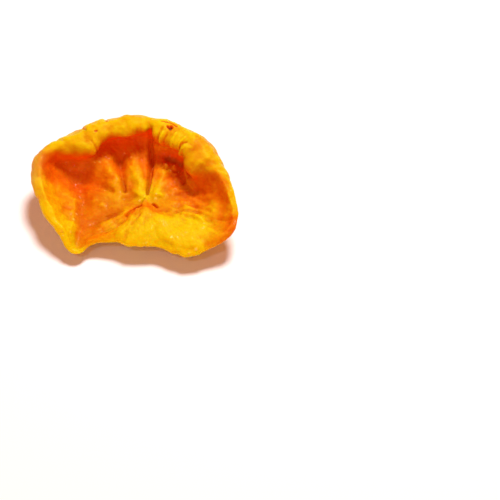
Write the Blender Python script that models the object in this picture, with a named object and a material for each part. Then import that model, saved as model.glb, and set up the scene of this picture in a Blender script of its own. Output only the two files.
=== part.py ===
"""Half of a peeled, dried persimmon: one closed solid of flesh, curled into a shallow cup.

The solid is a ball whose surface is carried to a family of cross-sections that stand round the core.
Its upper pole becomes the core, its upper half the floor and the inner wall of the cup, and its lower
half the outer wall and the belly. Folds then raise or sink the surface along paths drawn on the floor,
the outer wall is pleated, and the belly is levelled where the piece rests.
"""

from collections import namedtuple

import bmesh
import bpy
import numpy as np

MM = 0.001

# Names
OBJECT_NAME = "dried_persimmon_half"
FLESH_NAME = "persimmon_flesh"

# Driving dimensions, in millimetres
CORE_PLACE = (1.9, -5.7)     # of the core, from the middle of the resting spot
CORE_HEIGHT = 7.2            # of the core over the surface that the piece rests on
BELLY_PLACE = (-1.9, 5.7)    # of the lowest point of the belly, from the core
BELLY_DEPTH = 1.0            # what levelling takes off the belly
PLEATS = 19                  # soft pleats round the outer wall
PLEAT_DEPTH = 0.4
PLEAT_SWAY = 1.5             # how far they sway from even spacing, in radians of a pleat
PLEAT_SWAYS = 3              # times round the wall

# Fineness of the mesh
COLUMNS = 96
ROWS = 56
INNER_ROWS = 40              # rows from the core to just past the rim

# Cross-sections, in degrees round the core from +X and in millimetres
# reach: from the core to the rim's outermost point        height: of the rim over the surface
# lip: width of the rolled rim                             tuck: how far the wall is hollowed under the lip
# foot: from the core to where the wall starts             floor: height of the floor at the foot
Section = namedtuple("Section", "bearing reach height lip tuck foot floor")
SECTIONS = [
    Section(0, 26.6, 16.3, 3.6, -2.4, 16.5, 8.0),
    Section(10, 25.4, 17.6, 5.4, -2.0, 15.5, 8.2),
    Section(21, 24.9, 19.0, 9.6, 1.0, 13.6, 8.4),
    Section(33, 24.9, 20.1, 9.4, 2.0, 13.0, 8.6),
    Section(46, 24.5, 20.4, 7.4, 3.6, 14.2, 8.8),
    Section(60, 24.0, 20.4, 7.6, 4.4, 15.4, 9.0),
    Section(74, 24.8, 20.8, 7.8, 2.5, 15.0, 10.0),
    Section(88, 24.8, 20.5, 6.2, 1.5, 16.0, 9.5),
    Section(101, 26.3, 21.2, 7.6, 3.0, 16.0, 10.2),
    Section(116, 27.9, 20.3, 8.2, 3.5, 18.0, 9.3),
    Section(131, 30.0, 20.0, 8.8, 2.5, 18.6, 9.0),
    Section(145, 33.0, 18.2, 11.5, 2.0, 18.4, 8.2),
    Section(155, 35.7, 17.0, 5.6, 0.0, 23.6, 6.8),
    Section(165, 36.6, 15.5, 4.2, -2.2, 24.6, 6.3),
    Section(176, 35.0, 14.0, 3.6, -3.1, 22.0, 5.7),
    Section(189, 32.3, 12.2, 3.2, -3.1, 19.8, 5.2),
    Section(200, 30.5, 10.4, 2.8, -2.8, 19.2, 5.0),
    Section(209, 29.5, 8.8, 2.6, -2.6, 19.6, 4.8),
    Section(214, 29.4, 7.0, 2.6, -2.6, 20.2, 4.8),
    Section(219, 29.2, 5.7, 2.6, -2.6, 20.8, 4.9),
    Section(224, 27.5, 5.4, 2.7, -2.2, 18.0, 5.1),
    Section(229, 24.4, 5.8, 2.8, -2.2, 14.0, 5.7),
    Section(234, 21.2, 6.6, 2.8, -2.2, 10.4, 7.1),
    Section(240, 18.9, 7.4, 2.8, -2.2, 7.8, 8.8),
    Section(248, 18.0, 7.9, 2.8, -2.2, 6.8, 9.4),
    Section(262, 17.9, 7.9, 2.8, -2.3, 6.4, 9.8),
    Section(284, 18.7, 7.6, 2.9, -2.6, 7.2, 9.8),
    Section(302, 24.8, 7.5, 3.2, -3.2, 11.0, 9.3),
    Section(318, 28.2, 8.6, 3.0, -3.2, 15.0, 8.9),
    Section(333, 31.0, 11.2, 2.3, -3.0, 18.6, 8.8),
    Section(348, 28.8, 14.0, 2.6, -2.6, 18.2, 8.4),
]

# Profile of every section: knots along the surface from the core, over the rim, to the belly
KNOTS = np.array([0, 6, 12, 17.5, 21.5, 25, 29, 34, 42, 53, 66.0])
RIM_END = 36.0               # where the inner rows end, just past the rim
FLOOR_PLACES = (0.35, 0.7)   # of the floor's two knots, as shares of the way to the foot
FLOOR_CLIMBS = (0.35, 0.75)  # how far they have climbed from the core to the foot's height
WALL_CLIMB = 0.45            # how far the wall's knot has climbed from the floor to the lip's inner edge
LIP_DROP = 0.12              # of the lip's inner edge under its top, times the lip's width to the power
LIP_DROP_POWER = 1.6
LIP_DROP_MOST = 0.35         # of the rim's height over the floor
LIP_TOP = 0.42               # of the lip's width, from its inner edge to its top
RIM_DROP = 0.5               # of the lip's width, from its top down to the rim's outermost point
RIM_DROP_LIP = 7.5           # a wider lip drops no further
WALL_REACH = (0.79, 0.10, -0.03)   # of the reach, on the outer wall: its mean, and its gain to +Y and to +X
WALL_HEIGHT = 0.40           # of the rim's height, there
BELLY_REACH = 0.53           # of the reach, at the edge of the belly
BELLY_HEIGHT = 0.075
BELLY_SHIFT = (34.0, 53.0)   # the stretch over which the profile moves over to the belly's place
PLEAT_RISE = (34.0, 40.0)    # where the pleats start
PLEAT_FALL = (50.0, 60.0)    # where they die out

# The front edge is pulled in beside the pinched tip: middle of the notch, its size and the pull
NOTCH_MIDDLE = (-14.0, -17.0)
NOTCH_SIZE = 4.5
NOTCH_PULL = (-2.0, 2.0)

# Folds of the cup: a path in millimetres from the core, its width at both ends, how far it rises or
# sinks, and the stretch of the profile over which it dies out
Fold = namedtuple("Fold", "path widths rise ends", defaults=[(24.0, 31.0)])
FOLDS = {
    "left crease": Fold([(-23.0, 8.6), (-20.6, 6.0), (-19.6, -2.2), (-20.0, -12.3), (-20.4, -15.5)],
                        (2.2, 1.7), -0.9),
    "flap edge": Fold([(-4.0, -3.9), (-9.6, -6.6), (-12.9, -8.3), (-14.8, -10.2)], (1.3, 1.8), 0.9,
                      (20.0, 27.0)),
    "flap shade": Fold([(-9.0, -4.4), (-12.4, -5.8), (-15.6, -7.6)], (1.5, 1.9), -0.8),
    "back groove": Fold([(0.3, 2.2), (0.8, 8.0), (1.2, 14.0), (0.7, 22.0)], (0.7, 1.5), -2.1),
    "left groove": Fold([(-7.0, 3.6), (-7.6, 8.0), (-9.0, 15.0)], (0.9, 1.6), -1.4),
    "middle rib": Fold([(-2.0, 2.5), (-3.0, 8.0), (-4.4, 13.5)], (1.5, 1.8), 0.9),
    "right rib": Fold([(3.0, 2.0), (4.4, 6.0), (5.0, 9.4)], (1.5, 1.5), 0.9),
    "left rib": Fold([(-10.0, 4.5), (-11.2, 8.0), (-12.4, 13.0), (-12.6, 16.5)], (1.9, 2.2), 0.9),
    "left seed slit": Fold([(-2.4, -2.6), (-3.8, -4.6), (-6.4, -6.4)], (0.8, 0.9), -1.4),
    "right seed slit": Fold([(2.6, -1.6), (4.2, -3.4)], (0.8, 0.8), -1.2),
    "core hollow": Fold([(-7.2, 0.9), (-3.6, 1.4)], (1.1, 0.9), -0.9),
    "right rim crease": Fold([(21.8, -9.3), (24.8, -10.9), (27.0, -11.1)], (1.2, 1.2), -0.6),
    "left floor crease": Fold([(-20.0, 8.6), (-14.5, 6.4), (-9.6, 3.0)], (1.6, 1.2), -1.0),
    "flank ripple": Fold([(11.0, 2.2), (16.0, 0.0), (21.0, -1.6)], (1.5, 1.6), 0.7),
    "hollow edge": Fold([(13.9, 3.8), (13.2, 7.0), (11.9, 10.6)], (1.8, 1.8), 1.0),
    "hollow step": Fold([(11.6, 4.6), (10.6, 7.8), (9.8, 10.5)], (1.4, 1.4), -0.8),
    "flank arc": Fold([(9.0, -3.4), (12.5, -2.6), (16.1, -3.8), (20.0, -6.1), (21.6, -9.0)],
                      (1.3, 1.5), -0.8),
}

# Finish
FLESH_COLOUR = (0.90, 0.33, 0.01, 1.0)
FLESH_ROUGHNESS = 0.42
FLESH_SUBSURFACE = 0.6
FLESH_SCATTER = (1.0, 0.35, 0.06)
FLESH_SCATTER_SCALE = 4 * MM


def remove_objects():
    """Clear the scene that the script starts in."""
    for item in list(bpy.data.objects):
        bpy.data.objects.remove(item, do_unlink=True)


def smooth_step(ends, value):
    """0 before the first end, 1 past the second, and a smooth rise between them."""
    part = np.clip((value - ends[0]) / (ends[1] - ends[0]), 0, 1)
    return part * part * (3 - 2 * part)


def spline_weights(knots, places):
    """Weights of a natural cubic spline: a row for each place, a column for each knot."""
    count = len(knots)
    gaps = np.diff(knots)
    inner = np.arange(1, count - 1)
    curvature = np.eye(count)
    curvature[inner, inner - 1] = gaps[:-1]
    curvature[inner, inner] = 2 * (gaps[:-1] + gaps[1:])
    curvature[inner, inner + 1] = gaps[1:]
    slopes = np.zeros((count, count))
    slopes[inner, inner - 1] = 6 / gaps[:-1]
    slopes[inner, inner] = -6 / gaps[:-1] - 6 / gaps[1:]
    slopes[inner, inner + 1] = 6 / gaps[1:]
    bends = np.linalg.solve(curvature, slopes)
    span = np.clip(np.searchsorted(knots, places) - 1, 0, count - 2)
    width = gaps[span][:, None]
    ahead = (places[:, None] - knots[span][:, None]) / width
    behind = 1 - ahead
    pick = np.eye(count)
    straight = behind * pick[span] + ahead * pick[span + 1]
    bent = (behind**3 - behind) * bends[span] + (ahead**3 - ahead) * bends[span + 1]
    return straight + width**2 / 6 * bent


def round_weights(knots, places, turn=360.0):
    """Spline weights on a closed circle: the knots are repeated a turn before and a turn after."""
    weights = spline_weights(np.concatenate([knots - turn, knots, knots + turn]), places)
    count = len(knots)
    return weights[:, :count] + weights[:, count:2 * count] + weights[:, 2 * count:]


def profile_weights(places, sign):
    """Spline weights from pole to pole, with the profile mirrored past both poles.

    A radius changes its sign past a pole and a height keeps it, so the surface is smooth there.
    """
    beyond = 3
    before = -KNOTS[beyond:0:-1]
    after = 2 * KNOTS[-1] - KNOTS[-2:-2 - beyond:-1]
    weights = spline_weights(np.concatenate([before, KNOTS, after]), places)
    main = weights[:, beyond:-beyond].copy()
    main[:, 1:beyond + 1] += sign * weights[:, beyond - 1::-1]
    main[:, -2:-2 - beyond:-1] += sign * weights[:, -beyond:]
    return main


def section_controls(bearings):
    """Radii and heights of the profile's knots at each bearing, from the table of sections."""
    table = np.array(SECTIONS, float)
    weights = round_weights(table[:, 0], bearings)
    reach, height, lip, tuck, foot, floor = (weights @ table[:, 1:]).T
    none = np.zeros_like(reach)
    inner = reach - lip
    lip_drop = np.minimum(LIP_DROP * lip**LIP_DROP_POWER, LIP_DROP_MOST * (height - floor))
    lip_height = height - lip_drop
    rim_drop = RIM_DROP * np.minimum(lip, RIM_DROP_LIP)
    angle = np.radians(bearings)
    under = WALL_REACH[0] + WALL_REACH[1] * np.sin(angle) + WALL_REACH[2] * np.cos(angle)
    climb = floor - CORE_HEIGHT
    radii = [
        none, FLOOR_PLACES[0] * foot, FLOOR_PLACES[1] * foot, foot,
        inner + tuck, inner, inner + LIP_TOP * lip, reach,
        under * reach, BELLY_REACH * reach, none,
    ]
    heights = [
        none + CORE_HEIGHT, CORE_HEIGHT + FLOOR_CLIMBS[0] * climb, CORE_HEIGHT + FLOOR_CLIMBS[1] * climb,
        floor, floor + WALL_CLIMB * (lip_height - floor), lip_height, height, height - rim_drop,
        WALL_HEIGHT * height, BELLY_HEIGHT * height, none - BELLY_DEPTH,
    ]
    return np.array(radii), np.array(heights)


def cup_surface(bearings, runs):
    """The smooth cup: a grid of points, one row for each run from pole to pole."""
    radii, heights = section_controls(bearings)
    radius = profile_weights(runs, -1) @ radii
    z = profile_weights(runs, 1) @ heights
    angle = np.radians(bearings)
    over = smooth_step(BELLY_SHIFT, runs)[:, None]
    x = radius * np.cos(angle) + over * BELLY_PLACE[0]
    y = radius * np.sin(angle) + over * BELLY_PLACE[1]
    apart = np.hypot(x - NOTCH_MIDDLE[0], y - NOTCH_MIDDLE[1])
    pull = np.exp(-(apart / NOTCH_SIZE) ** 2)
    return np.stack([x + NOTCH_PULL[0] * pull, y + NOTCH_PULL[1] * pull, z], -1)


def outward_normals(points):
    """Unit normals of the grid from its neighbours, with the poles straight up and down."""
    along = np.gradient(points, axis=0)
    around = np.roll(points, -1, 1) - np.roll(points, 1, 1)
    normals = np.cross(along, around)
    normals[0] = (0, 0, 1)
    normals[-1] = (0, 0, -1)
    return normals / np.linalg.norm(normals, axis=-1, keepdims=True)


def nearness(x, y, path, widths):
    """1 on the path, falling off like a bell over the width, which changes along the path."""
    points = np.array(path, float)
    spreads = np.linspace(*widths, len(points))
    least = np.full(x.shape, np.inf)
    for start, end, first, last in zip(points[:-1], points[1:], spreads[:-1], spreads[1:]):
        step = end - start
        part = np.clip(((x - start[0]) * step[0] + (y - start[1]) * step[1]) / (step @ step), 0, 1)
        distance = np.hypot(x - start[0] - part * step[0], y - start[1] - part * step[1])
        least = np.minimum(least, distance / (first + part * (last - first)))
    return np.exp(-least**2)


def relief(points, bearings, runs):
    """How far each point moves out along its normal: the folds of the cup and the outer pleats."""
    x, y = points[..., 0], points[..., 1]
    run = runs[:, None]
    rise = np.zeros_like(x)
    for fold in FOLDS.values():
        rise += fold.rise * nearness(x, y, fold.path, fold.widths) * (1 - smooth_step(fold.ends, run))
    angle = np.radians(bearings)
    wave = np.sin(PLEATS * angle + PLEAT_SWAY * np.sin(PLEAT_SWAYS * angle))
    pleated = smooth_step(PLEAT_RISE, run) * (1 - smooth_step(PLEAT_FALL, run))
    return rise + PLEAT_DEPTH * wave * pleated


def flesh_points():
    """The finished surface in metres: a row for each ring of the ball, a column for each segment."""
    bearings = np.arange(COLUMNS) * 360.0 / COLUMNS
    inner = np.linspace(0, RIM_END, INNER_ROWS + 1)
    outer = np.linspace(RIM_END, KNOTS[-1], ROWS - INNER_ROWS + 1)
    runs = np.concatenate([inner, outer[1:]])
    points = cup_surface(bearings, runs)
    points += outward_normals(points) * relief(points, bearings, runs)[..., None]
    points[0] = points[0].mean(0)
    points[..., :2] += CORE_PLACE
    points[..., 2] = np.maximum(points[..., 2], 0)
    return points * MM


def flesh_object(material):
    """The ball, with each of its vertices carried to its place on the surface."""
    ball = bmesh.new()
    bmesh.ops.create_uvsphere(ball, u_segments=COLUMNS, v_segments=ROWS, radius=1.0)
    points = flesh_points()
    for vertex in ball.verts:
        x, y, z = vertex.co
        ring = round(float(np.arccos(np.clip(z, -1, 1))) / np.pi * ROWS)
        column = round(float(np.arctan2(y, x)) / (2 * np.pi) * COLUMNS) % COLUMNS
        vertex.co = points[ring, column]
    mesh = bpy.data.meshes.new(FLESH_NAME)
    ball.to_mesh(mesh)
    ball.free()
    mesh.shade_smooth()
    mesh.materials.append(material)
    return bpy.data.objects.new(FLESH_NAME, mesh)


def flesh_material():
    """Moist, translucent orange flesh."""
    material = bpy.data.materials.new("persimmon flesh")
    material.use_nodes = True
    shader = material.node_tree.nodes["Principled BSDF"]
    shader.inputs["Base Color"].default_value = FLESH_COLOUR
    shader.inputs["Roughness"].default_value = FLESH_ROUGHNESS
    shader.inputs["Metallic"].default_value = 0.0
    shader.inputs["Subsurface Weight"].default_value = FLESH_SUBSURFACE
    shader.inputs["Subsurface Radius"].default_value = FLESH_SCATTER
    shader.inputs["Subsurface Scale"].default_value = FLESH_SCATTER_SCALE
    return material


def main():
    """Build the persimmon half in a collection of its own."""
    remove_objects()
    collection = bpy.data.collections.new(OBJECT_NAME)
    bpy.context.scene.collection.children.link(collection)
    collection.objects.link(flesh_object(flesh_material()))


main()
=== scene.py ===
"""Looks of a dried persimmon half: fine surface, moist flesh, floor, light and camera."""

import math
from collections import namedtuple

import bmesh
import bpy
import numpy as np
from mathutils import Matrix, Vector


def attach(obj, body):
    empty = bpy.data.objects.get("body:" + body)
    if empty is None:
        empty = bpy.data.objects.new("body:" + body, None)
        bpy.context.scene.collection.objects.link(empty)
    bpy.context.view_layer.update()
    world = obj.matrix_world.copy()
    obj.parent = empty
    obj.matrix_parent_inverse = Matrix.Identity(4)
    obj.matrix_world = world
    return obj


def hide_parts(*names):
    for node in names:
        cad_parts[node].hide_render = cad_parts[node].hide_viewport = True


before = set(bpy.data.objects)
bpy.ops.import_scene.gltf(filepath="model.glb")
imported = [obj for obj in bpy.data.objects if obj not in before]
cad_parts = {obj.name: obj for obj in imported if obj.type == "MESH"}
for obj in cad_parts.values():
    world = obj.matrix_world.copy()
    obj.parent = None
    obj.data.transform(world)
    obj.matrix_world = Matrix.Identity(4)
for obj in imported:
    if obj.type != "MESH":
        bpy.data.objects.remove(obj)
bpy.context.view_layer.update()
FLESH_NODE = "persimmon_flesh"

MM = 0.001

# Driving dimensions, in millimetres, as the solid has them
CORE_PLACE = (1.9, -5.7)     # of the core, from the middle of the resting spot
CORE_HEIGHT = 7.2            # of the core over the ground
BELLY_PLACE = (-1.9, 5.7)    # of the lowest point of the belly, from the core
BELLY_DEPTH = 1.0            # what levelling takes off the belly
PLEATS = 19                  # soft pleats round the outer wall
PLEAT_DEPTH = 0.4
PLEAT_SWAY = 1.5             # how far they sway from even spacing, in radians of a pleat
PLEAT_SWAYS = 3              # times round the wall

# Fineness of the surface
COLUMNS = 520
ROWS = 190
INNER_ROWS = 145             # rows from the core to just past the rim

# Cross-sections, in degrees round the core from +X and in millimetres
# reach: from the core to the rim's outermost point    height: of the rim over the ground
# lip: width of the rolled rim                         tuck: of the wall, under the lip
# foot: from the core to where the wall starts         floor: height of the cup's floor there
Section = namedtuple("Section", "bearing reach height lip tuck foot floor")
SECTIONS = [
    Section(0, 26.6, 16.3, 3.6, -2.4, 16.5, 8.0),
    Section(10, 25.4, 17.6, 5.4, -2.0, 15.5, 8.2),
    Section(21, 24.9, 19.0, 9.6, 1.0, 13.6, 8.4),
    Section(33, 24.9, 20.1, 9.4, 2.0, 13.0, 8.6),
    Section(46, 24.5, 20.4, 7.4, 3.6, 14.2, 8.8),
    Section(60, 24.0, 20.4, 7.6, 4.4, 15.4, 9.0),
    Section(74, 24.8, 20.8, 7.8, 2.5, 15.0, 10.0),
    Section(88, 24.8, 20.5, 6.2, 1.5, 16.0, 9.5),
    Section(101, 26.3, 21.2, 7.6, 3.0, 16.0, 10.2),
    Section(116, 27.9, 20.3, 8.2, 3.5, 18.0, 9.3),
    Section(131, 30.0, 20.0, 8.8, 2.5, 18.6, 9.0),
    Section(145, 33.0, 18.2, 11.5, 2.0, 18.4, 8.2),
    Section(155, 35.7, 17.0, 5.6, 0.0, 23.6, 6.8),
    Section(165, 36.6, 15.5, 4.2, -2.2, 24.6, 6.3),
    Section(176, 35.0, 14.0, 3.6, -3.1, 22.0, 5.7),
    Section(189, 32.3, 12.2, 3.2, -3.1, 19.8, 5.2),
    Section(200, 30.5, 10.4, 2.8, -2.8, 19.2, 5.0),
    Section(209, 29.5, 8.8, 2.6, -2.6, 19.6, 4.8),
    Section(214, 29.4, 7.0, 2.6, -2.6, 20.2, 4.8),
    Section(219, 29.2, 5.7, 2.6, -2.6, 20.8, 4.9),
    Section(224, 27.5, 5.4, 2.7, -2.2, 18.0, 5.1),
    Section(229, 24.4, 5.8, 2.8, -2.2, 14.0, 5.7),
    Section(234, 21.2, 6.6, 2.8, -2.2, 10.4, 7.1),
    Section(240, 18.9, 7.4, 2.8, -2.2, 7.8, 8.8),
    Section(248, 18.0, 7.9, 2.8, -2.2, 6.8, 9.4),
    Section(262, 17.9, 7.9, 2.8, -2.3, 6.4, 9.8),
    Section(284, 18.7, 7.6, 2.9, -2.6, 7.2, 9.8),
    Section(302, 24.8, 7.5, 3.2, -3.2, 11.0, 9.3),
    Section(318, 28.2, 8.6, 3.0, -3.2, 15.0, 8.9),
    Section(333, 31.0, 11.2, 2.3, -3.0, 18.6, 8.8),
    Section(348, 28.8, 14.0, 2.6, -2.6, 18.2, 8.4),
]

# Profile of every section: knots along the surface from the core, over the rim, to the belly
KNOTS = np.array([0, 6, 12, 17.5, 21.5, 25, 29, 34, 42, 53, 66.0])
RIM_END = 36.0               # where the inner rows end, just past the rim
FLOOR_PLACES = (0.35, 0.7)   # of the floor's two knots, as shares of the way to the foot
FLOOR_CLIMBS = (0.35, 0.75)  # how far they have climbed from the core to the foot's height
WALL_CLIMB = 0.45            # how far the wall's knot has climbed to the lip's inner edge
LIP_DROP = 0.12              # of the lip's inner edge, times the lip's width to the power
LIP_DROP_POWER = 1.6
LIP_DROP_MOST = 0.35         # of the rim's height over the floor
LIP_TOP = 0.42               # of the lip's width, from its inner edge to its top
RIM_DROP = 0.5               # of the lip's width, from its top to the rim's outermost point
RIM_DROP_LIP = 7.5           # a wider lip drops no further
WALL_REACH = (0.79, 0.10, -0.03)   # of the reach, on the outer wall: mean, gain to +Y, to +X
WALL_HEIGHT = 0.40           # of the rim's height, there
BELLY_REACH = 0.53           # of the reach, at the edge of the belly
BELLY_HEIGHT = 0.075         # of the rim's height, there
BELLY_SHIFT = (34.0, 53.0)   # the stretch over which the profile moves over to the belly's place
PLEAT_RISE = (34.0, 40.0)    # where the pleats start
PLEAT_FALL = (50.0, 60.0)    # where they die out

# The front edge is pulled in beside the pinched tip: middle of the notch, its size and the pull
NOTCH_MIDDLE = (-14.0, -17.0)
NOTCH_SIZE = 4.5
NOTCH_PULL = (-2.0, 2.0)

# Stretches of the run, which is the way along the profile, where folds start or end
FROM_CORE = (-2.0, -1.0)
RIM_EDGE = (22.0, 25.0)
ON_RIM = (25.0, 28.0)
NOTCH_STARTS = (26.0, 29.0)
OVER_LIP = (24.0, 31.0)
THIN_RIM = (27.0, 31.0)
RIM_TOP = (28.0, 32.0)
RIM_OUTSIDE = (31.0, 35.0)
PAST_RIM = (36.0, 40.0)

# Folds of the cup: a path in millimetres from the core, its width at both ends, how far it rises
# or sinks, how much redder it makes the flesh, which in sunk folds is partly painted shade and on
# raised ones partly painted light, where it ends and where it starts, and the share of its width
# that holds on the left of the path, which makes a step of it
Fold = namedtuple(
    "Fold", "path widths rise redness ends starts left", defaults=[0.0, OVER_LIP, FROM_CORE, 1.0]
)
FOLDS = {
    "left crease": Fold([(-23.0, 8.6), (-20.6, 6.0), (-19.6, -2.2), (-20.0, -12.3), (-20.4, -21.0)],
                        (2.1, 1.6), -0.8, 0.08, (29.0, 35.0)),
    "left crease shade": Fold([(-22.0, 7.0), (-19.8, 2.0), (-19.8, -8.0)], (2.2, 1.4), 0.0, 0.06),
    "left slope sheen": Fold([(-32.0, 3.0), (-28.5, -4.0), (-25.5, -9.5), (-22.8, -16.0)],
                             (2.6, 3.4), 0.0, -0.2, RIM_OUTSIDE),
    "left crease lip": Fold([(-22.6, 1.0), (-21.9, -2.0), (-22.5, -5.0), (-22.0, -8.0),
                             (-22.4, -11.0)], (0.7, 0.7), 0.3, -0.1),
    "flap edge": Fold([(-4.0, -3.9), (-9.6, -6.6), (-12.9, -8.3), (-14.8, -10.2)],
                      (1.2, 1.7), 0.9, -0.1, (20.0, 27.0)),
    "flap shade": Fold([(-9.0, -4.4), (-12.4, -5.8), (-15.6, -7.6)], (1.8, 2.2), -0.8, 0.14),
    "flap line": Fold([(-1.2, -7.4), (-3.8, -11.2)], (0.3, 0.3), -0.3, 0.15),
    "back groove": Fold([(0.3, 2.2), (0.8, 8.0), (1.2, 14.0), (0.7, 22.0)], (0.4, 0.9), -1.7, 0.35),
    "left groove": Fold([(-7.0, 3.6), (-7.6, 8.0), (-9.0, 15.0)], (0.5, 1.5), -1.4, 0.3),
    "middle rib": Fold([(-2.0, 2.5), (-3.0, 8.0), (-4.4, 13.5), (-5.0, 18.0)],
                       (1.5, 1.8), 0.9, -0.30),
    "right rib": Fold([(3.0, 2.0), (4.4, 6.0), (5.0, 9.4)], (1.5, 1.5), 0.9, -0.2),
    "left rib": Fold([(-10.0, 4.5), (-11.2, 8.0), (-12.4, 13.0), (-12.6, 16.5)],
                     (1.9, 2.2), 0.9, -0.08),
    "left seed slit": Fold([(-3.1, -3.4), (-1.6, -2.8)], (0.5, 0.4), -1.0, 0.9),
    "left seed slit end": Fold([(-5.8, -5.9), (-4.6, -4.4), (-3.4, -3.6)], (0.5, 0.5), -0.7, 0.4),
    "right seed slit": Fold([(2.3, -1.8), (3.5, -3.2)], (0.4, 0.4), -0.9, 0.8),
    "core hollow": Fold([(-7.2, 0.9), (-3.6, 1.4)], (1.1, 0.8), -0.7, 0.15),
    "core knob": Fold([(-0.8, -0.4), (-0.2, -0.2)], (0.8, 0.8), 0.8, -0.2),
    "right core knob": Fold([(4.4, 1.4), (4.9, 1.3)], (0.7, 0.7), 0.6, -0.2),
    "right rim crease": Fold([(21.8, -9.3), (24.8, -10.9), (27.0, -11.1)],
                             (0.35, 0.3), -0.3, 0.05, THIN_RIM),
    "right rim fold": Fold([(22.8, -8.2), (25.0, -9.6), (26.6, -9.8)],
                           (0.8, 0.6), 0.3, 0.0, THIN_RIM),
    "left floor crease": Fold([(-20.0, 8.6), (-14.5, 6.4), (-10.6, 3.6)], (1.5, 0.7), -0.9, 0.15),
    "upper flank ripple": Fold([(11.0, 2.4), (13.6, 0.6), (16.4, 0.4), (21.0, -1.4)],
                               (0.9, 0.8), 0.5, -0.05),
    "flank arc": Fold([(9.0, -3.4), (12.5, -2.6), (16.1, -3.8), (20.0, -6.1)],
                      (0.8, 0.6), -0.40, 0.06),
    "middle flank arc": Fold([(9.8, -5.4), (12.6, -5.2), (16.1, -5.6), (19.7, -8.5), (21.0, -11.4)],
                             (0.7, 0.6), -0.38, 0.06),
    "middle flank ridge": Fold([(11.6, -6.8), (15.4, -7.4), (18.2, -9.9)], (0.8, 0.7), 0.6, -0.10),
    "lowest flank ripple": Fold([(11.0, -7.0), (14.6, -8.0), (17.2, -11.0)],
                                (0.6, 0.6), -0.4, 0.08),
    "rim pit": Fold([(6.6, 18.4), (7.4, 17.7), (7.8, 18.3)],
                    (0.3, 0.5), -0.9, 1.9, RIM_OUTSIDE, ON_RIM),
    "rim tear": Fold([(4.6, 20.4), (7.4, 19.9), (9.4, 18.9)],
                     (0.16, 0.22), -0.35, 1.1, (34.0, 38.0), ON_RIM),
    "rim speck": Fold([(-15.9, 17.6), (-15.4, 17.8)], (0.25, 0.2), -0.3, 1.2, (30.0, 34.0), ON_RIM),
    "first edge notch": Fold([(-21.0, 21.2), (-19.2, 18.6)],
                             (0.6, 0.35), -0.55, 0.25, PAST_RIM, NOTCH_STARTS),
    "second edge notch": Fold([(-13.4, 24.0), (-12.6, 21.4)],
                              (0.6, 0.35), -0.5, 0.3, PAST_RIM, NOTCH_STARTS),
    "third edge notch": Fold([(-27.4, 17.0), (-25.6, 15.4)],
                             (0.7, 0.4), -0.45, 0.1, PAST_RIM, NOTCH_STARTS),
    "left rim wrinkle": Fold([(-16.8, 14.6), (-15.3, 12.9)],
                             (0.35, 0.3), -0.35, 0.2, RIM_TOP, RIM_EDGE),
    "first rim groove": Fold([(3.2, 15.2), (5.0, 18.3)],
                             (0.45, 0.3), -0.45, 0.3, (29.0, 33.0), RIM_EDGE),
    "second rim groove": Fold([(4.1, 13.7), (6.3, 15.9)], (0.4, 0.3), -0.4, 0.3, RIM_TOP, RIM_EDGE),
    "first rim wrinkle": Fold([(4.0, 14.6), (5.4, 16.8)], (0.4, 0.4), 0.4, -0.3, RIM_TOP, RIM_EDGE),
    "second rim wrinkle": Fold([(7.6, 13.6), (9.3, 16.2)],
                               (0.4, 0.3), 0.4, -0.3, (30.0, 34.0), RIM_EDGE),
    "third rim wrinkle": Fold([(10.2, 12.6), (12.2, 14.4)],
                              (0.4, 0.3), 0.35, -0.25, RIM_TOP, RIM_EDGE),
    "fourth rim wrinkle": Fold([(12.6, 11.8), (14.4, 10.6)],
                               (0.5, 0.4), 0.45, -0.2, RIM_TOP, RIM_EDGE),
    "rim brown": Fold([(11.0, 13.0), (12.8, 12.6)], (0.3, 0.2), -0.3, 0.5, RIM_TOP, RIM_EDGE),
    "lit wall": Fold([(4.6, 18.0), (9.0, 16.2), (12.9, 13.2)],
                     (3.0, 2.6), 2.0, -0.48, (25.0, 27.5), (17.5, 20.5)),
    "hollow edge": Fold([(13.6, 5.4), (13.0, 7.6), (11.9, 10.6)], (3.0, 2.4), 1.3, -0.25, left=0.2),
    "hollow hook": Fold([(12.2, 9.0), (12.6, 7.4), (12.9, 5.6)], (0.45, 0.4), 0.4, -0.30),
    # painted shade: the hollow step makes the wall beside the pocket redder and darker
    "hollow step": Fold([(11.4, 6.0), (10.6, 8.2), (9.8, 10.5)], (1.0, 1.2), -0.5, 0.30),
    "pocket shade": Fold([(5.4, 14.8), (8.8, 14.2), (11.2, 12.2)],
                         (1.4, 1.4), -0.5, 0.85, (19.0, 22.5)),
    "first pocket lump": Fold([(5.6, 12.6), (5.9, 12.4)], (0.7, 0.7), 0.9, -0.1),
    "second pocket lump": Fold([(8.4, 12.2), (8.6, 11.7)], (0.7, 0.7), 0.9, -0.1),
    "third pocket lump": Fold([(7.0, 10.6), (8.2, 9.9)], (0.9, 0.9), 1.0, -0.1),
}

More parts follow.
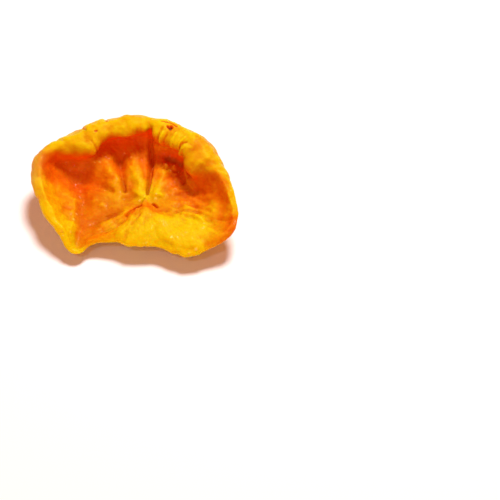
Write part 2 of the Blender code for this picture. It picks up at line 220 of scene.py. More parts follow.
# Small wet knobs on the floor, the walls and the flap: place from the core and width in
# millimetres, and where they end on the run
UNDER_LIP = (20.0, 23.0)
Knob = namedtuple("Knob", "x y width ends", defaults=[RIM_OUTSIDE])
KNOBS = [
    Knob(5.5, 12.6, 0.42, UNDER_LIP), Knob(8.4, 12.3, 0.32, UNDER_LIP),
    Knob(7.4, 10.6, 0.38, UNDER_LIP), Knob(1.5, 12.5, 0.40, UNDER_LIP),
    Knob(4.6, 10.4, 0.22, UNDER_LIP), Knob(9.6, 10.2, 0.22, UNDER_LIP),
    Knob(-16.6, 13.1, 0.25, UNDER_LIP), Knob(-15.1, 13.2, 0.25, UNDER_LIP),
    Knob(-7.5, 17.2, 0.30, UNDER_LIP), Knob(-5.1, 15.2, 0.30, UNDER_LIP), Knob(-13.1, 4.3, 0.28),
    Knob(-2.6, -4.5, 0.30), Knob(-21.4, -4.3, 0.35), Knob(-22.0, -6.9, 0.40),
    Knob(-22.3, -12.5, 0.30), Knob(-1.9, -0.6, 0.45), Knob(2.9, 0.1, 0.45), Knob(3.2, 1.4, 0.30),
    Knob(-9.4, -5.7, 0.22), Knob(18.3, -11.0, 0.25), Knob(26.3, -2.9, 0.25),
    Knob(15.9, -19.6, 0.42), Knob(13.8, -20.7, 0.28),
]
KNOB_HEIGHT = 0.8            # of its width
# the knobs are made yellower, as a painted glint
KNOB_REDNESS = -0.3

# Soft patches of redder (above 0) and yellower (below 0) flesh, of which the left pocket, the back
# recess and
# the right pocket are painted shade: middle and spread in millimetres from the core, and where they
# end on the run, which is under the lip unless it is named
INSIDE_ENDS = (21.0, 27.0)
ALL_OVER = (60.0, 66.0)
OVER_RIM = (27.0, 33.0)
Patch = namedtuple("Patch", "middle spread redness ends", defaults=[INSIDE_ENDS])
PATCHES = {
    "front flap": Patch((4.0, -15.0), (12.5, 8.5), -0.48, OVER_RIM),
    "tip": Patch((-20.8, -18.5), (4.0, 3.4), -0.35, OVER_RIM),
    "left slope top": Patch((-32.5, 2.5), (4.0, 5.0), -0.32, OVER_RIM),
    "left slope": Patch((-27.5, -5.0), (4.5, 7.0), -0.12, OVER_RIM),
    "left slope tip": Patch((-24.0, -12.5), (3.4, 6.0), -0.72, OVER_RIM),
    "right lip": Patch((17.0, 10.0), (13.0, 13.0), 0.25, ALL_OVER),
    "top lip": Patch((0.0, 21.0), (9.0, 6.0), 0.10, ALL_OVER),
    "upper left edge": Patch((-34.0, 8.0), (4.0, 9.0), 0.30, ALL_OVER),
    # painted shade in the pocket under the left lip
    "left pocket": Patch((-22.0, 9.0), (6.5, 4.5), 0.18),
    "below the left pocket": Patch((-27.5, 4.5), (4.0, 3.5), -0.14),
    "left rim shade": Patch((-32.5, 9.0), (2.6, 5.0), 0.16, (32.0, 38.0)),
    # painted shade in the recess under the back lip
    "back recess": Patch((-4.0, 19.5), (9.0, 3.0), 0.06),
    # painted shade in the pocket under the right lip
    "right pocket": Patch((8.5, 15.0), (5.0, 2.6), 1.0, (17.0, 19.5)),
    "pocket floor": Patch((6.9, 11.6), (3.4, 2.4), -0.62),
    "right wall": Patch((16.5, 7.0), (3.0, 3.5), -0.15, (24.0, 28.0)),
    "right hollow": Patch((19.0, 6.0), (6.0, 5.0), 0.10),
    "left floor": Patch((-16.0, -5.0), (5.0, 8.0), 0.22),
    "under the left ribs": Patch((-10.5, 2.6), (2.6, 2.2), -0.16),
    "right flank": Patch((17.5, -10.5), (6.0, 4.0), -0.38),
    "upper right flank": Patch((16.0, -2.5), (7.0, 4.5), -0.10),
    "right low edge": Patch((27.5, -15.5), (4.6, 5.0), 0.42, ALL_OVER),
    "right rim": Patch((28.0, -4.0), (2.8, 6.5), -0.34, (36.0, 42.0)),
    "core": Patch((0.5, 2.0), (5.0, 6.0), -0.24),
    "flap rim": Patch((5.0, -18.5), (8.0, 3.0), -0.12, (30.0, 36.0)),
    "crease end": Patch((-19.6, -10.5), (2.0, 3.5), 0.20, OVER_RIM),
}

# Redness of the inside and of the outer wall, over the lip's
INSIDE_REDNESS = 0.34
THIN_LIP = (2.5, 6.0)        # where the lip is as thin as this, the inside's colours end later
THIN_LIP_DELAY = 9.0         # by so much of the run, at most
DELAY_ENDS = (32.0, 42.0)    # where the delay is caught up
OUTER_RISE = (31.0, 36.0)    # where the outer wall starts
OUTER_REDNESS = 0.28

# Painted sheen: the outermost left edge is so thin that it looks paler, and that sheen is painted
# as a paler
# colour: middle and spread of the place, its share of the painted sheen colour, and where that
# starts on the run
PAINTED_SHEEN_PLACE = (-35.5, 8.0)
PAINTED_SHEEN_SPREAD = (3.6, 10.0)
PAINTED_SHEEN_SHARE = 0.7
PAINTED_SHEEN_RISE = (23.0, 29.0)

# Lumps of the surface: cell size and height in millimetres, and the seed of the noise
Lump = namedtuple("Lump", "size height seed")
LUMPS = [Lump(5.0, 0.35, 3), Lump(2.2, 0.28, 4), Lump(1.1, 0.13, 5)]

# Ripples of the right flank: the middle of their arcs, their width, length and height, how much
# redder each millimetre of height makes the flesh, and the middle and spread of where they lie
RIPPLE_CENTRE = (5.0, -13.0)
RIPPLE_WIDTH = 1.5
RIPPLE_LENGTH = 4.0
RIPPLE_HEIGHT = 0.7
RIPPLE_REDNESS = -0.4
RIPPLE_CIRCLE = 12.0         # the distance from that middle at which they have that length
RIPPLE_PLACE = (16.5, -4.5)
RIPPLE_SPREAD = (8.5, 6.5)
RIPPLE_SEED = 11

# Fibres that run from the core to the rim: width, length and height in millimetres, and the seed
Fibre = namedtuple("Fibre", "width length height seed")
FIBRES = [Fibre(1.8, 9.0, 0.16, 6), Fibre(0.9, 5.0, 0.09, 7)]
FIBRE_CIRCLE = 18.0          # the distance from the core at which the fibres have that width
FIBRE_REDNESS = -0.5         # for each millimetre that a fibre or lump stands out
FIBRE_RISE = (4.0, 14.0)     # the stretch of the run over which fibres get stronger
GRAIN_FALL = (50.0, 60.0)    # where fibres and lumps die out, before the resting spot
SWAY = 0.9                   # how far fibres and ripples wander, in millimetres
SWAY_SIZE = 3.0
SWAY_SEED = 12
SHIFT = 80.0                 # keeps every place of the noise above 0
LATTICE_SIDE = 64            # random values along each side of the noise's lattice

# How enclosure is sampled: every so many rows and columns, and so many points at a time, and the
# painted shade that it adds to the redness in the hollows
ENCLOSURE_STEPS = (4, 6)
ENCLOSURE_PART = 500
PAINTED_HOLLOW_SHADE = 0.68

# Painted glow, light that comes through the flesh into a hollow, painted into the base colour: the
# enclosure where it starts, its share for each part of enclosure above that, and where it ends on
# the run, under the lip
PAINTED_GLOW_STARTS = 0.12
PAINTED_GLOW_SHARE = 1.25
PAINTED_GLOW_ENDS = (22.0, 27.0)

# Added to a distance and to a squared one, so that something can be divided by them
TINY = 1e-9
TINY_SQUARE = 1e-6
SIDE_BLEND = (-0.5, 0.5)     # from the right of a path to its left, as the sine of the way off it

# Flesh colours by redness, from the yellowest to the reddest and on to brown
REDDEST = 1.8
FLESH_STOPS = [
    (0.00, (0.67, 0.48, 0.001)),
    (0.12, (0.65, 0.41, 0.001)),
    (0.25, (0.63, 0.31, 0.001)),
    (0.45, (0.60, 0.190, 0.001)),
    (0.70, (0.55, 0.106, 0.001)),
    (0.95, (0.55, 0.075, 0.001)),
    (1.20, (0.57, 0.052, 0.001)),
    (1.50, (0.42, 0.030, 0.002)),
    (1.80, (0.18, 0.020, 0.004)),
]
PAINTED_GLOW_COLOUR = (1.0, 0.14, 0.001, 1.0)    # painted glow: where light comes through the flesh into a hollow
PAINTED_SHEEN_COLOUR = (0.60, 0.32, 0.045, 1.0)   # painted sheen of the thinnest edge
PAINTED_GLINT_AND_SUGAR_COLOUR = (1.0, 0.50, 0.16, 1.0)    # painted glints and sugar of the small wet knobs

# Noises in the flesh, the finest last: the size of their cells, their detail and their roughness
CLOUDS = (5 * MM, 2.0, 0.5)
MOTTLES = (2 * MM, 2.0, 0.5)
SPECKS = (0.9 * MM, 3.0, 0.5)
GRAIN = (0.35 * MM, 3.0, 0.6)
NOISE_MEAN = 0.5
CLOUD_TONE, MOTTLE_TONE, SPECK_TONE = 0.24, 0.22, 0.20   # how far each shifts the redness

# What they do to the finish
GLINT_AND_SUGAR_GAIN, GLINT_AND_SUGAR_LOSS = 2.2, 0.2    # of the knobs' painted glints and sugar: times the specks, and off that
ROUGHNESS = 0.34
CLOUD_ROUGHNESS, SPECK_ROUGHNESS, WET_SMOOTHNESS = 0.22, 0.45, 0.32
COAT_GAIN, COAT_START = 3.6, 0.54    # of the moist coat: by redness, and by the grain over this
SPECK_BUMP, GRAIN_BUMP = 0.6, 0.4    # shares of the fine bumps
BUMP_STRENGTH = 0.8
BUMP_DEPTH = 0.4 * MM

# Floor, light and camera, in metres and watts
FLOOR_HALF = 2.0
FLOOR_COLOUR = (0.92, 0.92, 0.95, 1.0)
SKY_COLOUR = (1.0, 0.32, 0.12, 1.0)
SKY_STRENGTH = 0.38
Lamp = namedtuple("Lamp", "place width power colour")
LAMPS = {
    "window": Lamp((0.15, 0.25, 0.70), 0.22, 6.3, (1.0, 1.0, 1.0)),
    "fill": Lamp((-0.10, -0.60, 0.20), 0.30, 1.5, (1.0, 0.55, 0.30)),
    "glint": Lamp((-0.15, -0.35, 0.62), 0.03, 0.4, (1.0, 1.0, 1.0)),
}
PICTURE_SIDE = 500           # pixels
PIXELS_PER_MM = 3.25
CORE_FOOT_PIXEL = (145.5, 214.0)   # where the ground under the core lies in the picture
CAMERA_ELEVATION = math.radians(52)
CAMERA_LENS = 100.0          # millimetres
SENSOR_WIDTH = 36.0          # millimetres


def smooth_step(ends, value):
    """0 before the first end, 1 past the second, and 3 t squared less 2 t cubed between them."""
    part = np.clip((value - ends[0]) / (ends[1] - ends[0]), 0, 1)
    return part * part * (3 - 2 * part)


def spline_weights(knots, places):
    """Weights of a natural cubic spline: a row for each place, a column for each knot.

    The second derivatives at the knots solve the usual three-band system. Between two knots the
    spline is the straight blend of both values, plus the cubic terms of both second derivatives.
    """
    count = len(knots)
    gaps = np.diff(knots)
    inner = np.arange(1, count - 1)
    curvature = np.eye(count)
    curvature[inner, inner - 1] = gaps[:-1]
    curvature[inner, inner] = 2 * (gaps[:-1] + gaps[1:])
    curvature[inner, inner + 1] = gaps[1:]
    slopes = np.zeros((count, count))
    slopes[inner, inner - 1] = 6 / gaps[:-1]
    slopes[inner, inner] = -6 / gaps[:-1] - 6 / gaps[1:]
    slopes[inner, inner + 1] = 6 / gaps[1:]
    bends = np.linalg.solve(curvature, slopes)
    span = np.clip(np.searchsorted(knots, places) - 1, 0, count - 2)
    width = gaps[span][:, None]
    ahead = (places[:, None] - knots[span][:, None]) / width
    behind = 1 - ahead
    pick = np.eye(count)
    straight = behind * pick[span] + ahead * pick[span + 1]
    bent = (behind**3 - behind) * bends[span] + (ahead**3 - ahead) * bends[span + 1]
    return straight + width**2 / 6 * bent


def round_weights(knots, places, turn=360.0):
    """Spline weights on a closed circle: the knots are repeated a turn before and a turn after."""
    weights = spline_weights(np.concatenate([knots - turn, knots, knots + turn]), places)
    count = len(knots)
    return weights[:, :count] + weights[:, count:2 * count] + weights[:, 2 * count:]


def profile_weights(places, sign):
    """Spline weights from pole to pole, with the profile mirrored past both poles.

    A radius changes its sign past a pole and a height keeps it, so the surface is smooth there.
    """
    beyond = 3
    before = -KNOTS[beyond:0:-1]
    after = 2 * KNOTS[-1] - KNOTS[-2:-2 - beyond:-1]
    weights = spline_weights(np.concatenate([before, KNOTS, after]), places)
    main = weights[:, beyond:-beyond].copy()
    main[:, 1:beyond + 1] += sign * weights[:, beyond - 1::-1]
    main[:, -2:-2 - beyond:-1] += sign * weights[:, -beyond:]
    return main


def section_controls(bearings):
    """Radii and heights of the profile's knots at each bearing, from the table of sections.

    The profile runs from the core over the floor to the foot, up the wall, round the lip to the
    rim's reach, and under it to the belly, each as a share of the section's own measures.
    """
    table = np.array(SECTIONS, float)
    weights = round_weights(table[:, 0], bearings)
    reach, height, lip, tuck, foot, floor = (weights @ table[:, 1:]).T
    none = np.zeros_like(reach)
    inner = reach - lip
    lip_drop = np.minimum(LIP_DROP * lip**LIP_DROP_POWER, LIP_DROP_MOST * (height - floor))
    lip_height = height - lip_drop
    rim_drop = RIM_DROP * np.minimum(lip, RIM_DROP_LIP)
    angle = np.radians(bearings)
    under = WALL_REACH[0] + WALL_REACH[1] * np.sin(angle) + WALL_REACH[2] * np.cos(angle)
    climb = floor - CORE_HEIGHT
    radii = [
        none, FLOOR_PLACES[0] * foot, FLOOR_PLACES[1] * foot, foot,
        inner + tuck, inner, inner + LIP_TOP * lip, reach,
        under * reach, BELLY_REACH * reach, none,
    ]
    heights = [
        none + CORE_HEIGHT, CORE_HEIGHT + FLOOR_CLIMBS[0] * climb,
        CORE_HEIGHT + FLOOR_CLIMBS[1] * climb, floor,
        floor + WALL_CLIMB * (lip_height - floor), lip_height, height, height - rim_drop,
        WALL_HEIGHT * height, BELLY_HEIGHT * height, none - BELLY_DEPTH,
    ]
    return np.array(radii), np.array(heights)


def cup_surface(bearings, runs):
    """The smooth cup: a function of the bearing round the core and the run along the profile.

    Radius and height are splines of the run through the section's knots. The plan is polar round
    the core, moved over to the belly's place as it goes under, and pulled in by a bell at the
    notch.
    """
    radii, heights = section_controls(bearings)
    radius = profile_weights(runs, -1) @ radii
    z = profile_weights(runs, 1) @ heights
    angle = np.radians(bearings)
    over = smooth_step(BELLY_SHIFT, runs)[:, None]
    x = radius * np.cos(angle) + over * BELLY_PLACE[0]
    y = radius * np.sin(angle) + over * BELLY_PLACE[1]
    apart = np.hypot(x - NOTCH_MIDDLE[0], y - NOTCH_MIDDLE[1])
    pull = np.exp(-(apart / NOTCH_SIZE) ** 2)
    return np.stack([x + NOTCH_PULL[0] * pull, y + NOTCH_PULL[1] * pull, z], -1)


def outward_normals(points):
    """Unit normals: the cross product of the steps to the neighbours along and around the grid."""
    along = np.gradient(points, axis=0)
    around = np.roll(points, -1, 1) - np.roll(points, 1, 1)
    normals = np.cross(along, around)
    normals[0] = (0, 0, 1)
    normals[-1] = (0, 0, -1)
    return normals / np.linalg.norm(normals, axis=-1, keepdims=True)


def nearness(x, y, path, widths, left=1.0):
    """1 on the path, falling off like a bell over the width, which changes along the path.

    The bell is e to the minus squared distance over the width. On the left of the path the width
    is the given share of that, and it changes over smoothly round the ends.
    """
    points = np.array(path, float)
    spreads = np.linspace(*widths, len(points))
    least = np.full(x.shape, np.inf)
    for start, end, first, last in zip(points[:-1], points[1:], spreads[:-1], spreads[1:]):
        step = end - start
        part = np.clip(((x - start[0]) * step[0] + (y - start[1]) * step[1]) / (step @ step), 0, 1)
        across, up = x - start[0] - part * step[0], y - start[1] - part * step[1]
        distance = np.hypot(across, up)
        aside = (step[0] * up - step[1] * across) / np.linalg.norm(step) / (distance + TINY)
        leftward = smooth_step(SIDE_BLEND, aside)
        width = (first + part * (last - first)) * (1 + (left - 1) * leftward)
        least = np.minimum(least, distance / width)
    return np.exp(-least**2)


def lattice_noise(places, size, seed):
    """Smooth noise from -1 to 1: random values on a cubic lattice, blended with smooth steps."""
    table = np.random.default_rng(seed).uniform(-1, 1, (LATTICE_SIDE,) * 3)
    cells = np.floor(places / size).astype(int)
    part = places / size - cells
    part = part * part * (3 - 2 * part)
    total = np.zeros(places.shape[:-1])
    for corner in np.ndindex(2, 2, 2):
        share = np.prod(np.where(corner, part, 1 - part), axis=-1)
        i, j, k = np.moveaxis((cells + corner) % LATTICE_SIDE, -1, 0)
        total += share * table[i, j, k]
    return total


def fold_sums(x, y, run):
    """How far the folds move the surface, and how much redder they make it, each by nearness."""
    rise, redness = np.zeros_like(x), np.zeros_like(x)
    for fold in FOLDS.values():
        here = nearness(x, y, fold.path, fold.widths, fold.left)
        here *= smooth_step(fold.starts, run) * (1 - smooth_step(fold.ends, run))
        rise += fold.rise * here
        redness += fold.redness * here
    return rise, redness


def delayed_run(bearings, run):
    """The run that the colours go by: held back at a thin lip, caught up on the outer wall."""
    table = np.array(SECTIONS, float)
    lip = round_weights(table[:, 0], bearings) @ table[:, 3]
    delay = THIN_LIP_DELAY * (1 - smooth_step(THIN_LIP, lip))
    return run - delay * (1 - smooth_step(DELAY_ENDS, run))


def side_redness(run, colour_run):
    """The inside's redness ends under the lip or past a thin one; the outer wall's starts there."""
    inside = 1 - smooth_step(INSIDE_ENDS, colour_run)
    return INSIDE_REDNESS * inside + OUTER_REDNESS * smooth_step(OUTER_RISE, run)


def oval_bell(x, y, middle, spread):
    """1 in the middle, e to the minus squared distance round it, each way over its own spread."""
    return np.exp(-((x - middle[0]) / spread[0]) ** 2 - ((y - middle[1]) / spread[1]) ** 2)


def patch_redness(x, y, run):
    """The soft patches, each an oval bell."""
    total = np.zeros_like(x)
    for patch in PATCHES.values():
        bell = oval_bell(x, y, patch.middle, patch.spread)
        total += patch.redness * bell * (1 - smooth_step(patch.ends, run))
    return total


def knob_bells(x, y, run):
    """Height and wetness of the small knobs, each a bell of its own width, on the upper side."""
    height, wetness = np.zeros_like(x), np.zeros_like(x)
    for knob in KNOBS:
        square = ((x - knob.x) ** 2 + (y - knob.y) ** 2) / knob.width**2
        bell = (1 - smooth_step(knob.ends, run)) * np.exp(-square)
        height += KNOB_HEIGHT * knob.width * bell
        wetness += bell
    return height, wetness


def fibre_relief(bearings, run, sway):
    """Noise on a cylinder whose axis is the run: its cells are narrow around it, long along it."""
    angle = np.radians(bearings) + sway / FIBRE_CIRCLE
    total = np.zeros_like(angle)
    for fibre in FIBRES:
        stretch = fibre.width / fibre.length
        around = FIBRE_CIRCLE * np.stack([np.cos(angle), np.sin(angle)], -1)
        places = np.concatenate([around, (run + 0 * angle)[..., None] * stretch], -1) + SHIFT
        total += fibre.height * lattice_noise(places, fibre.width, fibre.seed)
    return total


def flank_ripples(x, y, run, sway):
    """Noise in polar coordinates round the arcs' middle, long along the arcs, under a bell."""
    across, up = x - RIPPLE_CENTRE[0], y - RIPPLE_CENTRE[1] + sway
    stretch = RIPPLE_WIDTH / RIPPLE_LENGTH
    places = np.stack([
        np.hypot(across, up),
        np.arctan2(up, across) * RIPPLE_CIRCLE * stretch,
        0 * across,
    ], -1) + SHIFT
    bell = oval_bell(x, y, RIPPLE_PLACE, RIPPLE_SPREAD) * (1 - smooth_step(INSIDE_ENDS, run))
    return bell * lattice_noise(places, RIPPLE_WIDTH, RIPPLE_SEED)


def outer_pleats(bearings, run):
    """A sine wave round the outer wall, with its phase swaying, faded in and out along the run."""
    angle = np.radians(bearings)
    wave = np.sin(PLEATS * angle + PLEAT_SWAY * np.sin(PLEAT_SWAYS * angle))
    return PLEAT_DEPTH * wave * smooth_step(PLEAT_RISE, run) * (1 - smooth_step(PLEAT_FALL, run))


def enclosure(points, normals):
    """How much of what each point faces is the flesh itself: 0 in the open, about 1 deep inside.

    The surface is thinned to small flat tiles. A tile adds its area, times the cosines at both
    ends, over pi times the squared distance plus its own area. The sum is spread back over the
    full grid.
    """
    row_step, column_step = ENCLOSURE_STEPS
    rows = np.append(np.arange(0, len(points) - 1, row_step), len(points) - 1)
    columns = np.arange(0, points.shape[1], column_step)
    tiles = points[rows][:, columns]
    faces = normals[rows][:, columns]
    along = np.gradient(tiles, axis=0)
    around = (np.roll(tiles, -1, 1) - np.roll(tiles, 1, 1)) / 2
    area = np.linalg.norm(np.cross(along, around), axis=-1).ravel()
    middle, face = tiles.reshape(-1, 3), faces.reshape(-1, 3)
    seen = np.zeros(len(middle))
    for start in range(0, len(middle), ENCLOSURE_PART):
        part = slice(start, start + ENCLOSURE_PART)
        gap = middle[None] - middle[part, None]
        square = np.einsum("ijk,ijk->ij", gap, gap) + TINY_SQUARE
        facing = np.clip(np.einsum("ijk,ik->ij", gap, face[part]), 0, None)
        faced = np.clip(-np.einsum("ijk,jk->ij", gap, face), 0, None)
        seen[part] = (area * facing * faced / square / (np.pi * square + area)).sum(1)
    seen = seen.reshape(tiles.shape[:2])
    wrapped = np.concatenate([seen, seen[:, :1]], 1)
    edges = np.append(columns, points.shape[1])
    every_column = np.arange(points.shape[1])
    across = np.array([np.interp(every_column, edges, line) for line in wrapped])
    every_row = np.arange(len(points))
    return np.array([np.interp(every_row, rows, line) for line in across.T]).T


def flesh_surface():
    """The finished surface in metres and its flesh's qualities: grids with a row for every run.

    The smooth cup moves out along its normals by folds, pleats, lumps, fibres, ripples and knobs,
    and is cut off flat at the ground. Redness adds up what each of these does to the colour, and
    the painted shade of the hollows.
    """
    bearings = np.arange(COLUMNS) * 360.0 / COLUMNS
    inner = np.linspace(0, RIM_END, INNER_ROWS + 1)
    outer = np.linspace(RIM_END, KNOTS[-1], ROWS - INNER_ROWS + 1)
    runs = np.concatenate([inner, outer[1:]])
    run = runs[:, None]
    points = cup_surface(bearings, runs)
    normals = outward_normals(points)
    x, y = points[..., 0], points[..., 1]
    rise, fold_redness = fold_sums(x, y, run)
    placed = points + SHIFT
    grain = sum(lump.height * lattice_noise(placed, lump.size, lump.seed) for lump in LUMPS)
    sway = SWAY * lattice_noise(placed, SWAY_SIZE, SWAY_SEED)
    grain += fibre_relief(bearings, run, sway) * smooth_step(FIBRE_RISE, run)
    grain *= 1 - smooth_step(GRAIN_FALL, run)
    knobs, wetness = knob_bells(x, y, run)
    ripples = RIPPLE_HEIGHT * flank_ripples(x, y, run, sway)
    rise += outer_pleats(bearings, run) + grain + ripples + knobs
    redness = fold_redness + FIBRE_REDNESS * grain + RIPPLE_REDNESS * ripples
    redness += KNOB_REDNESS * wetness
    colour_run = delayed_run(bearings, run)
    redness += side_redness(run, colour_run) + patch_redness(x, y, colour_run)
    depth = enclosure(points, normals)
    # painted shade: the deeper in a hollow, the redder and darker the flesh
    redness += PAINTED_HOLLOW_SHADE * depth
    # painted glow: light through the flesh, painted into the base colour of the hollows
    glow = np.clip(PAINTED_GLOW_SHARE * (depth - PAINTED_GLOW_STARTS), 0, 1)
    glow *= 1 - smooth_step(PAINTED_GLOW_ENDS, colour_run)
    # painted sheen: a paler colour on the thin left edge
    pallor = PAINTED_SHEEN_SHARE * oval_bell(x, y, PAINTED_SHEEN_PLACE, PAINTED_SHEEN_SPREAD) * smooth_step(PAINTED_SHEEN_RISE, run)
    points += normals * rise[..., None]
    for values in (points, redness, wetness, glow, pallor):
        values[0] = values[0].mean(0)
        values[-1] = values[-1].mean(0)
    points[..., :2] += CORE_PLACE
    points[..., 2] = np.maximum(points[..., 2], 0)
    return points * MM, {"redness": redness, "wetness": wetness, "glow": glow, "pallor": pallor}


def closed_grid_faces(rows, columns):
    """Quads between neighbouring rows, the last column joined to the first, and a fan at each pole.

    Vertex 0 is the first pole, the last vertex is the other one, and the rows between them follow.
    """
    gaps = rows - 3              # between the rings, which are the rows without both poles
    ring = np.arange(columns)
    following = np.roll(ring, -1)
    starts = 1 + columns * np.arange(gaps)[:, None]
    here, beside = starts + ring, starts + following
    quads = np.stack([here, here + columns, beside + columns, beside], -1)
    last = 1 + columns * gaps
    first_pole, last_pole = np.full_like(ring, 0), np.full_like(ring, last + columns)
    first_fan = np.stack([first_pole, 1 + ring, 1 + following], -1)
    last_fan = np.stack([last + ring, last_pole, last + following], -1)
    return quads.reshape(-1, 4).tolist() + first_fan.tolist() + last_fan.tolist()


def flesh_piece(material):
    """The flesh as a closed mesh that carries its qualities as attributes of its points."""
    points, qualities = flesh_surface()
    rows, columns = points.shape[:2]
    flat = np.concatenate([points[:1, 0], points[1:-1].reshape(-1, 3), points[-1:, 0]])
    mesh = bpy.data.meshes.new("persimmon flesh surface")
    mesh.from_pydata(flat.tolist(), [], closed_grid_faces(rows, columns))
    for name, grid in qualities.items():
        values = np.concatenate([grid[:1, 0], grid[1:-1].ravel(), grid[-1:, 0]]).astype(np.float32)
        mesh.attributes.new(name, "FLOAT", "POINT").data.foreach_set("value", values)
    mesh.shade_smooth()
    mesh.materials.append(material)
    piece = bpy.data.objects.new("persimmon_flesh_surface", mesh)
    bpy.context.scene.collection.objects.link(piece)
    return piece


class Value:
    """A shader socket in arithmetic: each operator adds the Math node that works it out."""

    def __init__(self, finish, socket):
        self.finish = finish
        self.socket = socket

    def math(self, operation, *values):
        return self.finish.node("ShaderNodeMath", {"operation": operation}, dict(enumerate(values)))

    def __add__(self, other):
        return self.math("ADD", self, other)

    def __sub__(self, other):
        return self.math("SUBTRACT", self, other)

    def __rsub__(self, other):
        return self.math("SUBTRACT", other, self)

    def __mul__(self, other):
        return self.math("MULTIPLY", self, other)

    def clamped(self):
        return self.finish.node("ShaderNodeClamp", {}, {0: self})

    __radd__ = __add__
    __rmul__ = __mul__


class Finish:
    """A material, its shader and the one method that adds any other node."""

    def __init__(self, name, **constants):
        self.material = bpy.data.materials.new(name)
        self.material.use_nodes = True
        self.tree = self.material.node_tree
        self.shader = self.tree.nodes["Principled BSDF"]
        for socket, value in constants.items():
            self.shader.inputs[socket.replace("_", " ")].default_value = value

    def node(self, kind, settings, inputs, output=0):
        """A node with its settings, then the values or links of its sockets. Gives one output."""
        node = self.tree.nodes.new(kind)
        for name, value in settings.items():
            if name == "stops":
                self.set_stops(node.color_ramp.elements, value)
            else:
                setattr(node, name, value)
        for name, value in inputs.items():
            if isinstance(value, Value):
                self.tree.links.new(value.socket, node.inputs[name])
            else:
                node.inputs[name].default_value = value
        return Value(self, node.outputs[output])

    @staticmethod
    def set_stops(elements, stops):
        """Give a colour ramp its stops, each a position and a colour."""
        while len(elements) < len(stops):
            elements.new(1.0)
        for element, (position, colour) in zip(elements, stops):
            element.position = position
            element.color = (*colour, 1.0)

    def feed(self, socket, value):
        """Link a value to one of the shader's own sockets."""
        self.tree.links.new(value.socket, self.shader.inputs[socket])

    def mixed(self, share, first, second):
        """The first colour, with the given share of the second."""
        return self.node("ShaderNodeMix", {"data_type": "RGBA"}, {0: share, 6: first, 7: second}, 2)

    def object_places(self):
        """Each point's place on the piece."""
        return self.node("ShaderNodeTexCoord", {}, {}, "Object")

    def quality(self, name):
        """What the piece's points say under that name."""
        return self.node("ShaderNodeAttribute", {"attribute_name": name}, {}, "Fac")

    def noise(self, places, cell, detail, roughness):
        """Noise from 0 to 1 whose cells are about the given size in metres."""
        inputs = {"Vector": places, "Scale": 1 / cell, "Detail": detail, "Roughness": roughness}
        return self.node("ShaderNodeTexNoise", {}, inputs)


def flesh_finish():
    """Moist, translucent flesh: yellow in the open, orange on the floor and red in its hollows,
    where the red is partly painted shade; its colour also holds a painted glow, a painted sheen and
    painted glints.
    """
    finish = Finish(
        "persimmon flesh",
        Subsurface_Weight=0.6,
        Subsurface_Radius=(1.0, 0.35, 0.06),
        Subsurface_Scale=5.5 * MM,
        Specular_IOR_Level=0.22,
        Specular_Tint=(1.0, 0.70, 0.10, 1.0),
        Coat_Roughness=0.16,
    )
    places = finish.object_places()
    redness, wetness = finish.quality("redness"), finish.quality("wetness")
    glow, pallor = finish.quality("glow"), finish.quality("pallor")
    clouds = finish.noise(places, *CLOUDS)
    mottles = finish.noise(places, *MOTTLES)
    specks = finish.noise(places, *SPECKS)
    grain = finish.noise(places, *GRAIN)
    tone = redness + CLOUD_TONE * (clouds - NOISE_MEAN) + MOTTLE_TONE * (mottles - NOISE_MEAN)
    tone = tone + SPECK_TONE * (specks - NOISE_MEAN)
    stops = [(position / REDDEST, colour) for position, colour in FLESH_STOPS]
    ramp = finish.node("ShaderNodeValToRGB", {"stops": stops}, {0: tone * (1 / REDDEST)}, "Color")
    # the ramp's colour, with the painted glow in the hollows and the painted sheen on the thin edge
    colour = finish.mixed(pallor, finish.mixed(glow, ramp, PAINTED_GLOW_COLOUR), PAINTED_SHEEN_COLOUR)
    # painted glints and sugar: a paler colour on the wet knobs where the specks are high
    glint_and_sugar = (wetness * wetness * (GLINT_AND_SUGAR_GAIN * specks - GLINT_AND_SUGAR_LOSS)).clamped()
    finish.feed("Base Color", finish.mixed(glint_and_sugar, colour, PAINTED_GLINT_AND_SUGAR_COLOUR))
    roughness = ROUGHNESS + CLOUD_ROUGHNESS * clouds + SPECK_ROUGHNESS * (specks - NOISE_MEAN)
    finish.feed("Roughness", (roughness - WET_SMOOTHNESS * wetness).clamped())
    finish.feed("Coat Weight", (COAT_GAIN * tone * (grain - COAT_START)).clamped())
    bumps = SPECK_BUMP * specks + GRAIN_BUMP * grain
    inputs = {"Strength": BUMP_STRENGTH, "Distance": BUMP_DEPTH, "Height": bumps}
    finish.feed("Normal", finish.node("ShaderNodeBump", {}, inputs))
    return finish.material


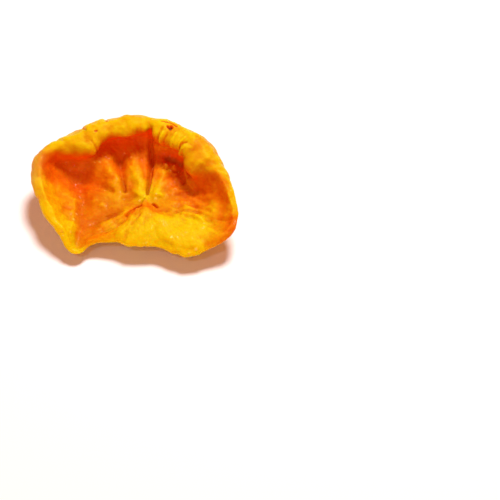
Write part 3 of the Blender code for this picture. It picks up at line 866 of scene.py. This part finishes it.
def floor_object():
    """The plain pale floor under the piece."""
    finish = Finish("floor", Base_Color=FLOOR_COLOUR, Roughness=0.9, Specular_IOR_Level=0.2)
    sheet = bmesh.new()
    bmesh.ops.create_grid(sheet, x_segments=1, y_segments=1, size=FLOOR_HALF)
    mesh = bpy.data.meshes.new("floor")
    sheet.to_mesh(mesh)
    sheet.free()
    mesh.materials.append(finish.material)
    floor = bpy.data.objects.new("floor", mesh)
    bpy.context.scene.collection.objects.link(floor)
    return floor


def aimed(kind, place, target):
    """An object of that light or camera data, at the place, looking at the target."""
    item = bpy.data.objects.new(kind.name, kind)
    bpy.context.scene.collection.objects.link(item)
    item.location = place
    item.rotation_euler = (Vector(target) - Vector(place)).to_track_quat("-Z", "Y").to_euler()
    return item


def add_light():
    """An even, warm sky and soft round lamps."""
    world = bpy.data.worlds.new("studio sky")
    world.use_nodes = True
    sky = world.node_tree.nodes["Background"]
    sky.inputs["Color"].default_value = SKY_COLOUR
    sky.inputs["Strength"].default_value = SKY_STRENGTH
    bpy.context.scene.world = world
    for name, lamp in LAMPS.items():
        light = bpy.data.lights.new(name, "AREA")
        light.shape = "DISK"
        light.size = lamp.width
        light.energy = lamp.power
        light.color = lamp.colour
        aimed(light, lamp.place, (0, 0, 0))


def add_camera():
    """The photograph's view: the ground under the core lies at its own pixel of the picture."""
    right = (PICTURE_SIDE / 2 - CORE_FOOT_PIXEL[0]) / PIXELS_PER_MM
    up = (CORE_FOOT_PIXEL[1] - PICTURE_SIDE / 2) / PIXELS_PER_MM
    away = up / math.sin(CAMERA_ELEVATION)
    target = Vector((CORE_PLACE[0] + right, CORE_PLACE[1] + away, 0)) * MM
    distance = PICTURE_SIDE / PIXELS_PER_MM * MM * CAMERA_LENS / SENSOR_WIDTH
    back = Vector((0, -math.cos(CAMERA_ELEVATION), math.sin(CAMERA_ELEVATION)))
    camera = bpy.data.cameras.new("camera")
    camera.lens = CAMERA_LENS
    camera.sensor_width = SENSOR_WIDTH
    bpy.context.scene.camera = aimed(camera, target + back * distance, target)
    bpy.context.scene.view_settings.view_transform = "Standard"


flesh = flesh_piece(flesh_finish())
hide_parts(FLESH_NODE)
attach(flesh, "root")
floor_object()
add_light()
add_camera()
